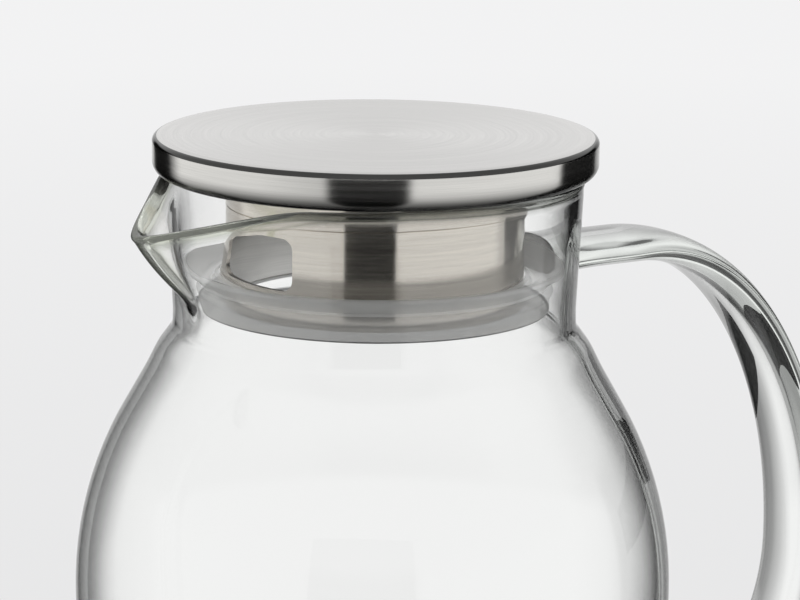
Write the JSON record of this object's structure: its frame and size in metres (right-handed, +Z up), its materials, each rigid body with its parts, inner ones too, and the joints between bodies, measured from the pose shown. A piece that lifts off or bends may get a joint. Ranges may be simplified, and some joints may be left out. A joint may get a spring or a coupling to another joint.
{
  "type": "glass jug with lid",
  "caption": "Clear glass jug with a round belly, pulled spout and strap handle, closed by a steel lid with a windowed collar and silicone seal that lifts off and turns to pour.",
  "frame": {"origin": "centre of the foot's flat face, on the jug's axis", "axes": "+Z up along the jug's axis, -X towards the spout, +X towards the handle"},
  "size_m": [0.2019, 0.1422, 0.223],
  "materials": {
    "glass": "clear polished",
    "handle_glass": "clear polished",
    "lid_steel": "spun brushed",
    "plate_steel": "brushed",
    "collar_steel": "brushed round the tube",
    "silicone": "translucent matt"
  },
  "bodies": {
    "jug": {"jug_body": "glass", "handle": "handle_glass"},
    "seal": {"seal_ring": "silicone"},
    "lid": {"lid_cap": "lid_steel", "lid_plate": "plate_steel", "collar": "collar_steel"}
  },
  "joints": [
    {"name": "lid_lift", "type": "slide", "parent": "jug", "child": "seal", "axis": [0, 0, 1], "range_m": [0, 0.06]},
    {"name": "lid_turn", "type": "hinge", "parent": "seal", "child": "lid", "pos_m": [0, 0, 0.2], "axis": [0, 0, 1], "continuous": true}
  ]
}
